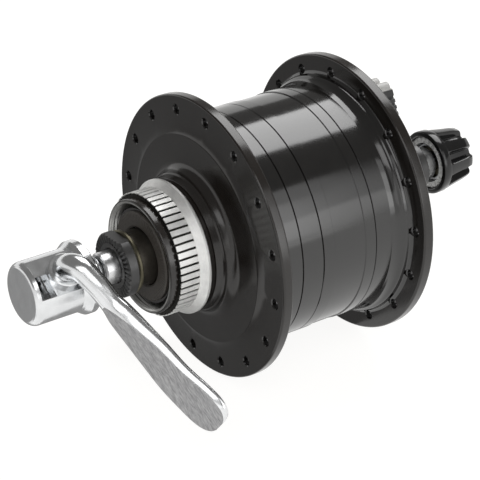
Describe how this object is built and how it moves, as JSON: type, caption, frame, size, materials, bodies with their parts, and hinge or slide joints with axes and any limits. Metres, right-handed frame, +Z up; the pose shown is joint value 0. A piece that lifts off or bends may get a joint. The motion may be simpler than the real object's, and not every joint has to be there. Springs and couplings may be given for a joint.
{
  "type": "hub dynamo",
  "caption": "Front wheel hub that makes electricity for lamps, with spoked flanges, a splined brake disc mount, a hollow axle and a quick-release skewer with cam lever and nut.",
  "frame": {"origin": "centre of the disc-side locknut's outer face, on the axle's centre line", "axes": "+Y along the axle, out of the hub on the disc side; +Z up, the side on which the terminal block stands; +X forward as mounted in a fork"},
  "size_m": [0.0858, 0.1423, 0.078],
  "materials": {
    "zinc_steel": "satin zinc",
    "core_iron": "satin",
    "claw_iron": "satin pressed sheet",
    "bobbin_plastic": "matte",
    "copper_winding": "enamelled copper",
    "wire_sleeve": "matte",
    "black_steel": "satin black",
    "olive_zinc": "satin zinc with an olive tint",
    "ball_steel": "polished",
    "black_plastic": "satin",
    "grey_plastic": "satin",
    "contact_brass": "satin",
    "black_anodised": "gloss black anodised",
    "machined_steel": "satin machined",
    "ferrite": "matte",
    "seal_rubber": "matte",
    "chrome": "polished",
    "spring_steel": "satin",
    "gloss_black_plastic": "gloss"
  },
  "bodies": {
    "axle_group": {"axle": "zinc_steel", "stator_core": "core_iron", "claw_pole_left": "claw_iron", "claw_pole_right": "claw_iron", "coil_bobbin": "bobbin_plastic", "coil_winding": "copper_winding", "stator_clamp_nut": "zinc_steel", "lead_wires": "wire_sleeve", "cone_left": "black_steel", "cone_right": "black_steel", "washer_left": "olive_zinc", "washer_right": "olive_zinc", "locknut_left": "black_steel", "locknut_right": "black_steel", "ball_set_left": "ball_steel", "ball_set_right": "ball_steel", "terminal_block": "black_plastic", "terminal_cover": "grey_plastic", "terminal_contacts": "contact_brass"},
    "hub": {"hub_shell": "black_anodised", "end_cap": "black_anodised", "spline_ring": "machined_steel", "magnet_ring": "ferrite", "magnet_back_ring": "core_iron", "bearing_cup_left": "ball_steel", "bearing_cup_right": "ball_steel", "seal_left": "seal_rubber", "seal_right": "seal_rubber"},
    "housing": {"qr_housing": "chrome", "cam_bushing": "chrome", "housing_grip_ring": "machined_steel", "volute_spring_left": "spring_steel"},
    "lever": {"qr_lever": "chrome", "cam_clip": "spring_steel"},
    "rod": {"skewer_rod": "zinc_steel"},
    "nut_slider": {"volute_spring_right": "spring_steel"},
    "nut": {"nut_core": "olive_zinc", "nut_cap": "gloss_black_plastic", "nut_grip_ring": "machined_steel"}
  },
  "joints": [
    {"name": "hub_spin", "type": "hinge", "parent": "axle_group", "child": "hub", "pos_m": [0, -0.05, 0], "axis": [0, 1, 0], "continuous": true},
    {"name": "skewer_turn", "type": "hinge", "parent": "axle_group", "child": "housing", "pos_m": [0, 0.01615, 0], "axis": [0, 1, 0], "continuous": true},
    {"name": "lever_cam", "type": "hinge", "parent": "housing", "child": "lever", "pos_m": [0, 0.01615, 0], "axis": [0.5878, 0, -0.809], "range_deg": [0, 180]},
    {"name": "rod_pull", "type": "slide", "parent": "housing", "child": "rod", "axis": [0, -1, 0], "range_m": [0, 0.0016]},
    {"name": "nut_travel", "type": "slide", "parent": "rod", "child": "nut_slider", "axis": [0, 1, 0], "range_m": [-0.0024, 0.002], "deforming": ["volute_spring_right"]},
    {"name": "nut_spin", "type": "hinge", "parent": "nut_slider", "child": "nut", "pos_m": [0, -0.107, 0], "axis": [0, 1, 0], "range_deg": [-1080, 900]}
  ],
  "couplings": [
    {"joint": "rod_pull", "follows": "lever_cam", "m_per_rad": 0.0005093},
    {"joint": "nut_travel", "follows": "nut_spin", "m_per_rad": 0.00012732}
  ]
}
